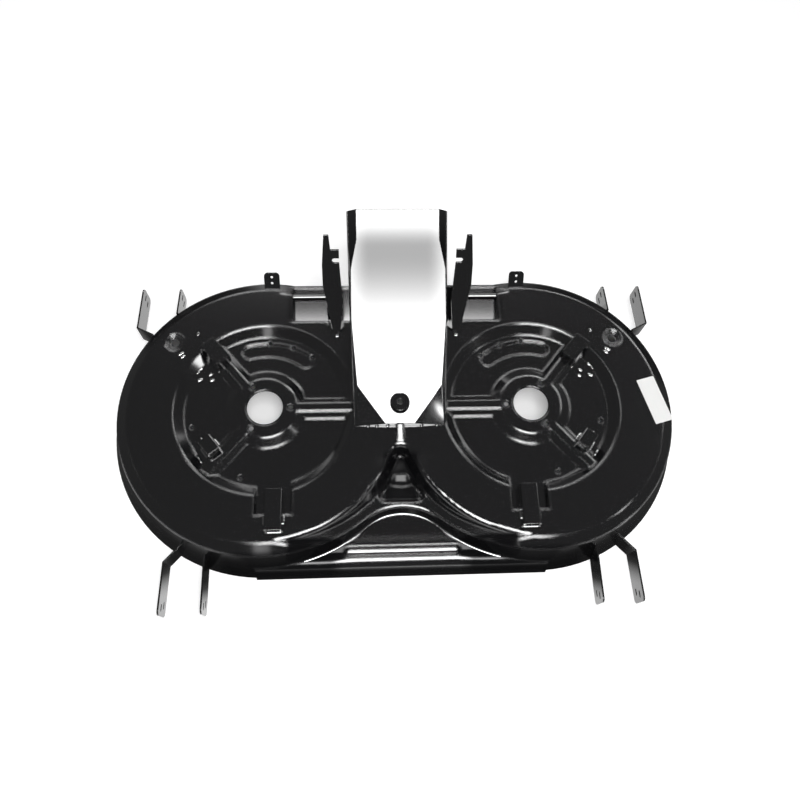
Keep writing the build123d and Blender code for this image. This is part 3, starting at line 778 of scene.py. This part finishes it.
@dataclass
class PaintedSheet:
    """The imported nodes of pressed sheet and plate, and the paper label, dressed where they are."""

    spindle_y: float
    pressed: str = "deck_shell"
    folded: str = "chute_cover"
    label: str = "paper_label"
    press_spots: PressSpots = PressSpots()
    chute_spots: ChuteSpots = ChuteSpots()
    press_edge: float = 6.5 * MM
    fold_edge: float = 2.0 * MM
    plate_paint: GlossPaint = GlossPaint("paint_on_plates", 1.0 * MM)
    # Painted highlight: a raised refractive index makes the glints of the weld beads and the fold cove
    # brighter than the black paint's own.
    glint_bright_paint: GlossPaint = GlossPaint("paint_on_beads", 0.5 * MM, roughness=0.12, index=2.2)
    paper: PlainPaper = PlainPaper()

    def spotted(self, name: str, edge: float, spots: PressSpots | ChuteSpots) -> bpy.types.Material:
        """Builds a paint with dents and spots of painted shade.

        Args:
            name: Name of the material.
            edge: Radius that its edges look rounded by.
            spots: The dents and the spots of painted shade.

        Returns:
            The material.
        """
        paint = GlossPaint(name, edge, dents=spots.dents(), painted_shade=spots.painted_shade())
        return paint.material(self.spindle_y)

    def dress(self) -> bpy.types.Material:
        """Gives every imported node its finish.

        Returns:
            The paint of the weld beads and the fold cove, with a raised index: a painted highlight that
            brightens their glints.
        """
        on_plate = self.plate_paint.material(self.spindle_y)
        special = {
            self.pressed: self.spotted("paint_on_pressing", self.press_edge, self.press_spots),
            self.folded: self.spotted("paint_on_folds", self.fold_edge, self.chute_spots),
            self.label: self.paper.material(),
        }
        for name, node in frame["nodes"].items():
            finish = special.get(name, on_plate)
            node.data.materials.clear()
            node.data.materials.append(finish)
            LOG.info("dressed %s with %s", name, finish.name)
        return self.glint_bright_paint.material(self.spindle_y)


@dataclass(frozen=True)
class Surface:
    """Points of a surface, and its faces of four and of three corners as rows of point numbers."""

    places: np.ndarray
    quads: np.ndarray
    fans: np.ndarray = field(default_factory=lambda: np.zeros((0, 3), int))


def joined(name: str, surfaces: list[Surface], paint: bpy.types.Material) -> bpy.types.Object:
    """Joins surfaces into one object that rides on the deck.

    Args:
        name: Name of the object.
        surfaces: The surfaces.
        paint: Finish of the object.

    Returns:
        The object.
    """
    starts = np.cumsum([0] + [len(surface.places) for surface in surfaces])
    places = np.concatenate([surface.places for surface in surfaces])
    faces = []
    for start, surface in zip(starts, surfaces):
        faces += (surface.quads + start).tolist() + (surface.fans + start).tolist()
    mesh = bpy.data.meshes.new(name)
    mesh.from_pydata(places.tolist(), [], faces)
    mesh.polygons.foreach_set("use_smooth", np.ones(len(faces), bool))
    mesh.materials.append(paint)
    piece = bpy.data.objects.new(name, mesh)
    bpy.context.scene.collection.objects.link(piece)
    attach(piece, BODY)
    LOG.info("%s: %d surfaces, %d faces", name, len(surfaces), len(faces))
    return piece


@dataclass
class FoldCove:
    """Round cove in the crease where the skirt of lobes and valley stands on the front apron.

    Attributes:
        spindle_x: X of the right spindle.
        lobe_y: Y of the middle of the lobes.
        name: Name of the piece.
        lobe_r: Radius of the crease about a lobe.
        bay_r: Radius of the crease in the valley.
        bay_ahead: How far the middle of that arc lies ahead of the lobes.
        apron_z: Height of the apron.
        radius: Radius of the cove.
        skirt_run, skirt_rise: How far the skirt leans back over its height.
        end_angle: Angle about the right lobe at which the crease ends, in degrees.
        points: Points along each arc.
        steps: Points across the cove.
    """

    spindle_x: float
    lobe_y: float
    name: str = "fold_cove"
    lobe_r: float = 280.0 * MM
    bay_r: float = 101.1 * MM
    bay_ahead: float = 289.8 * MM
    apron_z: float = 38.0 * MM
    radius: float = 3.0 * MM
    skirt_run: float = 11.0 * MM
    skirt_rise: float = 39.0 * MM
    end_angle: float = 255.0
    points: int = 90
    steps: int = 12

    def crease(self) -> tuple[np.ndarray, np.ndarray]:
        """Crease from left to right: an arc about each lobe, with the arc of the valley between them.

        Returns:
            Points of the crease in plan, and the directions square to it towards the front.
        """
        meet = math.atan2(self.bay_ahead, self.spindle_x)
        valley = np.linspace(math.pi / 2, meet, self.points)
        lobe = np.linspace(math.pi + meet, math.radians(self.end_angle), self.points)[1:]
        bay = np.array([0.0, self.lobe_y - self.bay_ahead])
        hub = np.array([self.spindle_x, self.lobe_y])
        ray = np.column_stack([np.cos(valley), np.sin(valley)])
        spoke = np.column_stack([np.cos(lobe), np.sin(lobe)])
        right = np.concatenate([bay + self.bay_r * ray, hub + self.lobe_r * spoke])
        out = np.concatenate([-ray, spoke])
        mirror = np.array([-1.0, 1.0])
        return np.concatenate([right[:0:-1] * mirror, right]), np.concatenate([out[:0:-1] * mirror, out])

    def build(self, paint: bpy.types.Material) -> bpy.types.Object:
        """Builds the cove: an arc that touches the apron and the leaning skirt, carried along the crease.

        Args:
            paint: Finish of the cove.

        Returns:
            The object.
        """
        line, out = self.crease()
        sweep = math.pi / 2 - math.atan2(self.skirt_run, self.skirt_rise)
        turn = np.linspace(0.0, sweep, self.steps)
        ahead = self.radius * (math.tan(sweep / 2) - np.sin(turn))
        rise = self.apron_z + self.radius * (1 - np.cos(turn))
        flat = line[:, None, :] + ahead[None, :, None] * out[:, None, :]
        height = np.broadcast_to(rise, flat.shape[:2])[:, :, None]
        places = np.concatenate([flat, height], axis=2).reshape(-1, 3)
        corner = np.arange(len(places)).reshape(len(line), self.steps)
        skin = np.stack([corner[:-1, :-1], corner[1:, :-1], corner[1:, 1:], corner[:-1, 1:]], axis=-1)
        return joined(self.name, [Surface(places, skin.reshape(-1, 4))], paint)


@dataclass(frozen=True)
class Bead:
    """Rippled weld bead with blunt ends.

    Attributes:
        half: Half its width.
        ripple: Length of one ripple.
        sides: Points round it.
        flatness: Its height over its width.
        swell: Share by which a ripple stands out.
        bluntness: Power that shapes its ends.
        least: Least value under the root of that power.
        tip: Length of the pole at an end, in half widths.
        fewest: Fewest rings along it.
        per_ripple: Rings to a ripple.
    """

    half: float
    ripple: float = 5.0 * MM
    sides: int = 10
    flatness: float = 0.5
    swell: float = 0.1
    bluntness: int = 4
    least: float = 0.02
    tip: float = 0.25
    fewest: int = 8
    per_ripple: int = 4

    def along(self, path: np.ndarray) -> Surface:
        """Carries the bead along a path as a closed surface.

        An ellipse, half as high as it is wide, is carried along the path. Its size is the fourth root of
        one minus the fourth power of the distance from the middle, so the ends are blunt, times one plus a
        tenth of the sine of the ripples. Poles close both ends.

        Args:
            path: Points along the foot of the bead, one row each.

        Returns:
            The surface.
        """
        steps = np.linalg.norm(np.diff(path, axis=0), axis=1)
        run = np.concatenate([[0.0], np.cumsum(steps)])
        count = max(self.fewest, int(self.per_ripple * run[-1] / self.ripple))
        share = np.linspace(0.0, 1.0, count)
        line = np.column_stack([np.interp(share * run[-1], run, path[:, k]) for k in range(3)])
        along = np.gradient(line, axis=0)
        along /= np.linalg.norm(along, axis=1, keepdims=True)
        across = np.cross(along, UP)
        across /= np.linalg.norm(across, axis=1, keepdims=True)
        rise = np.cross(across, along)
        end = np.clip(1 - np.abs(2 * share - 1) ** self.bluntness, self.least, None) ** (1 / self.bluntness)
        size = self.half * end * (1 + self.swell * np.sin(2 * math.pi * share * run[-1] / self.ripple))
        turn = np.linspace(0.0, 2 * math.pi, self.sides, endpoint=False)
        rings = (
            line[:, None, :]
            + size[:, None, None] * np.cos(turn)[None, :, None] * across[:, None, :]
            + self.flatness * size[:, None, None] * np.sin(turn)[None, :, None] * rise[:, None, :]
        )
        corner = np.arange(count * self.sides).reshape(count, self.sides)
        beside = np.roll(corner, -1, axis=1)
        skin = np.stack([corner[:-1], beside[:-1], beside[1:], corner[1:]], axis=-1).reshape(-1, 4)
        pole = np.full(self.sides, count * self.sides)
        first = np.stack([pole, beside[0], corner[0]], axis=-1)
        last = np.stack([pole + 1, corner[-1], beside[-1]], axis=-1)
        poles = line[[0, -1]] + self.half * self.tip * np.array([-along[0], along[-1]])
        places = np.concatenate([rings.reshape(-1, 3), poles])
        return Surface(places, skin, np.concatenate([first, last]))


@dataclass(frozen=True)
class Foot:
    """Foot of a bridge bracket: angle about the left spindle in degrees, distance from it, and its flat."""

    angle: float
    r: float
    flat: Flat


@dataclass(frozen=True)
class Stitch:
    """Short bead on the left lobe.

    Attributes:
        middle: Its middle in plan, from the middle of the spindle line, in millimetres.
        flat: Flat that it lies on.
        toward: Its direction in plan.
        length: Its length in millimetres, for a direction of length one.
    """

    middle: Pair
    flat: Flat
    toward: Pair
    length: float


@dataclass
class WeldBeads:
    """Weld beads and tacks where brackets, channels, hangers and the chute meet the shell.

    Attributes:
        spindle_x, spindle_y: Place of the right spindle in plan.
        bead, tack, hanger_bead: The usual bead, a tack and the bead of a hanger.
        line_points: Points along a straight foot line.
        feet: Feet of the two brackets of the left lobe, rear bracket first.
        foot_half: Half the length of a bead across a foot.
        row: Stitches beside the brackets of the left lobe.
        lift_gap: Distance of the beads from the lift channel.
        lift_back: From the middle of the channel to the middle of its side stitches.
        lift_reach: Half the length of those stitches.
        seam_gap: Distance of the tacks from the chute's nose, and above the top.
        tack_x: Places of the tacks, in millimetres.
        tack_reach: Half the length of a tack.
        hanger_in: From the inner face of a hanger to the middle of its bead.
        hanger_y: Place of that bead behind the spindles.
        hanger_reach: Half its length.
    """

    spindle_x: float
    spindle_y: float
    bead: Bead = Bead(3.4 * MM)
    tack: Bead = Bead(4.2 * MM)
    hanger_bead: Bead = Bead(4.0 * MM)
    line_points: int = 12
    feet: tuple[Foot, ...] = (
        Foot(131.0, 171.5 * MM, Flat.TOP),
        Foot(131.0, 115.5 * MM, Flat.DISC),
        Foot(219.0, 135.5 * MM, Flat.DISC),
        Foot(219.0, 106.5 * MM, Flat.DISC),
    )
    foot_half: float = 13 * MM
    row: tuple[Stitch, ...] = (
        Stitch((-378.0, 150.0), Flat.TOP, (0.30, 0.95), 8.0),
        Stitch((-407.0, 109.0), Flat.TOP, (0.85, 0.50), 13.0),
        Stitch((-403.0, 103.0), Flat.TOP, (0.85, 0.50), 11.0),
        Stitch((-371.0, 84.0), Flat.DISC, (0.85, 0.50), 10.0),
        Stitch((-376.0, 77.0), Flat.DISC, (0.60, 0.80), 9.0),
        Stitch((-371.0, 61.0), Flat.DISC, (0.90, 0.40), 12.0),
        Stitch((-352.0, 72.0), Flat.DISC, (0.80, 0.60), 11.0),
        Stitch((-349.0, 60.0), Flat.DISC, (0.90, 0.40), 10.0),
        Stitch((-337.0, 78.0), Flat.DISC, (0.70, 0.70), 4.0),
        Stitch((-354.0, -63.0), Flat.DISC, (0.73, -0.68), 26.0),
        Stitch((-362.0, -96.0), Flat.DISC, (0.60, -0.80), 14.0),
        Stitch((-327.0, -92.0), Flat.DISC, (0.45, -0.90), 22.0),
    )
    lift_gap: float = 1.0 * MM
    lift_back: float = 16 * MM
    lift_reach: float = 9 * MM
    seam_gap: float = 0.5 * MM
    tack_x: tuple[float, ...] = (-58.0, -42.0, -22.0, 40.0, 68.0)
    tack_reach: float = 2.5 * MM
    hanger_in: float = 12 * MM
    hanger_y: float = 143 * MM
    hanger_reach: float = 4.0 * MM

    def line(self, start: np.ndarray, end: np.ndarray, bead: Bead | None = None) -> Surface:
        """Bead along a straight foot line.

        Args:
            start: One end.
            end: The other end.
            bead: Kind of bead, or None for the usual one.

        Returns:
            The surface.
        """
        return (bead or self.bead).along(np.linspace(start, end, self.line_points))

    def crosswise(self, place: np.ndarray, reach: float, bead: Bead) -> Surface:
        """Bead along X.

        Args:
            place: Its middle.
            reach: Half its length.
            bead: Kind of bead.

        Returns:
            The surface.
        """
        half = np.array([reach, 0.0, 0.0])
        return self.line(place - half, place + half, bead)

    def at_foot(self, side: Side, foot: Foot, across: float) -> np.ndarray:
        """Point at the foot of a bracket.

        Args:
            side: Left or right lobe; the right one is the mirror image.
            foot: The foot.
            across: Distance from its middle, square to the radius from the spindle.

        Returns:
            The point.
        """
        turn = math.radians(foot.angle)
        x = -self.spindle_x + foot.r * math.cos(turn) - across * math.sin(turn)
        y = self.spindle_y + foot.r * math.sin(turn) + across * math.cos(turn)
        return np.array([-side.value * x, y, foot.flat.value])

    def brackets(self, side: Side) -> list[Surface]:
        """Beads along both feet of the two bridge brackets of a lobe.

        Args:
            side: Left or right lobe.

        Returns:
            The surfaces.
        """
        half = self.foot_half
        ends = [(self.at_foot(side, foot, -half), self.at_foot(side, foot, half)) for foot in self.feet]
        return [self.line(start, end) for start, end in ends]

    def stitches(self, side: Side) -> list[Surface]:
        """Short beads beside the brackets of a lobe.

        Args:
            side: Left or right lobe.

        Returns:
            The surfaces.
        """
        mirror = np.array([-side.value, 1.0])
        beads = []
        for stitch in self.row:
            middle = np.array(stitch.middle) * mirror * MM + np.array([0.0, self.spindle_y])
            reach = np.array(stitch.toward) * mirror * stitch.length * MM / 2
            ends = [np.append(end, stitch.flat.value) for end in (middle - reach, middle + reach)]
            beads.append(self.line(*ends))
        return beads

    def lift(self, side: Side) -> list[Surface]:
        """Bead across the front end of the lift channel and a stitch on either side of it.

        Args:
            side: Left or right channel.

        Returns:
            The surfaces.
        """
        name = "lift_channel_" + side.name.lower()
        low, high = (np.array(v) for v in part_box(name))
        front, z = low[1] - self.lift_gap, Flat.TOP.value
        middle = (low[1] + high[1]) / 2 - self.lift_back
        near, far = middle - self.lift_reach, middle + self.lift_reach
        beads = [self.line(np.array([low[0], front, z]), np.array([high[0], front, z]))]
        for x in (low[0] - self.lift_gap, high[0] + self.lift_gap):
            beads.append(self.line(np.array([x, near, z]), np.array([x, far, z])))
        return beads

    def nose(self) -> list[Surface]:
        """Tacks along the seam at the foot of the chute's nose.

        Returns:
            The surfaces.
        """
        low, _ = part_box("chute_cover")
        y, z = low[1] - self.seam_gap, Flat.TOP.value + self.seam_gap
        places = [np.array([x * MM, y, z]) for x in self.tack_x]
        return [self.crosswise(place, self.tack_reach, self.tack) for place in places]

    def hanger(self, side: Side) -> list[Surface]:
        """Blunt bead in front of the foot of a hanger.

        Args:
            side: Left or right hanger.

        Returns:
            The surface, in a list.
        """
        low, high = (np.array(v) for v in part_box("hanger_" + side.name.lower()))
        x = side.value * (min(abs(low[0]), abs(high[0])) + self.hanger_in)
        place = np.array([x, self.spindle_y + self.hanger_y, Flat.TOP.value])
        return [self.crosswise(place, self.hanger_reach, self.hanger_bead)]

    def build(self, paint: bpy.types.Material) -> list[bpy.types.Object]:
        """Builds all beads.

        Args:
            paint: Finish of the beads.

        Returns:
            The objects.
        """
        pieces = [joined("weld_tacks_nose", self.nose(), paint)]
        for side in Side:
            name = side.name.lower()
            pieces.append(joined("weld_beads_brackets_" + name, self.brackets(side), paint))
            pieces.append(joined("weld_stitches_" + name, self.stitches(side), paint))
            pieces.append(joined("weld_beads_lift_" + name, self.lift(side), paint))
            pieces.append(joined("weld_bead_hanger_" + name, self.hanger(side), paint))
        return pieces


@dataclass(frozen=True)
class Studio:
    """Floor, room, lamp and camera."""

    room: StudioRoom = StudioRoom()
    camera: PhotoCamera = PhotoCamera()
    key: SoftBox = SoftBox(
        name="key_box",
        place=(0.095, -0.50, 1.96),
        aim=(0.0, 0.13, 0.18),
        width=0.62,
        depth=0.9,
        radiance=13.0,
    )

    def build(self, spindle: np.ndarray) -> None:
        """Builds the studio round the deck.

        Args:
            spindle: Place of the right spindle.
        """
        StudioFloor(spindle_x=float(spindle[0]), spindle_y=float(spindle[1])).build()
        self.room.build()
        self.key.build()
        self.camera.build(float(spindle[1]))
        bpy.context.scene.view_settings.view_transform = "Standard"


def main() -> None:
    """Dresses the deck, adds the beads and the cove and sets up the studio."""
    logging.basicConfig(level=logging.INFO, format="%(name)s: %(message)s")
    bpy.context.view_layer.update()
    spindle = mount_place("spindle_bore_right")
    paint = PaintedSheet(spindle_y=float(spindle[1])).dress()
    WeldBeads(spindle_x=spindle[0], spindle_y=spindle[1]).build(paint)
    FoldCove(spindle_x=spindle[0], lobe_y=spindle[1] - LOBE_LEAD).build(paint)
    Studio().build(spindle)


if __name__ == "__main__":
    main()
